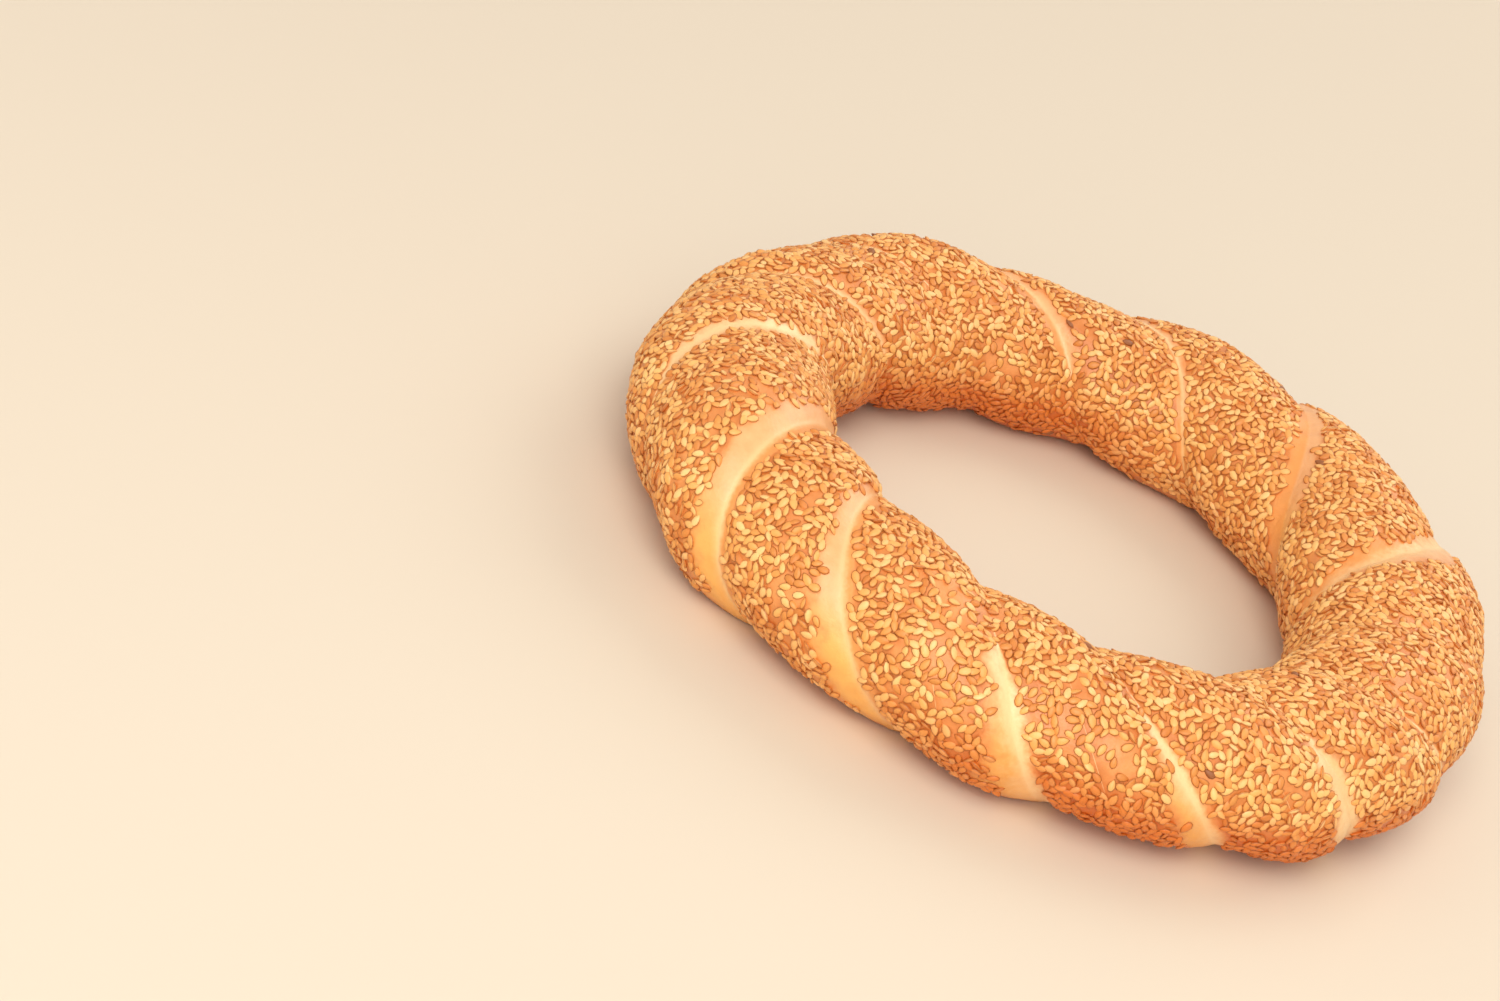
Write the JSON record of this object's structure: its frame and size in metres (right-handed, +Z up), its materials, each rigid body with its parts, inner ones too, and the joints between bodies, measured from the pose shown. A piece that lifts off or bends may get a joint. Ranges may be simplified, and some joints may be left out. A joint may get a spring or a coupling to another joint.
{
  "type": "simit",
  "caption": "Ring of bread made of two twisted ropes of dough, browned and covered with sesame seeds.",
  "frame": {"origin": "middle of the ring's box, on the surface it lies on", "axes": "+Z up through the hole; the ring lies flat, and -Y is the side shown nearest the viewer"},
  "size_m": [0.1904, 0.19, 0.0368],
  "materials": {
    "crust": "satin",
    "sesame": "satin"
  },
  "bodies": {
    "root": {"twisted_ring": "crust"}
  },
  "joints": []
}
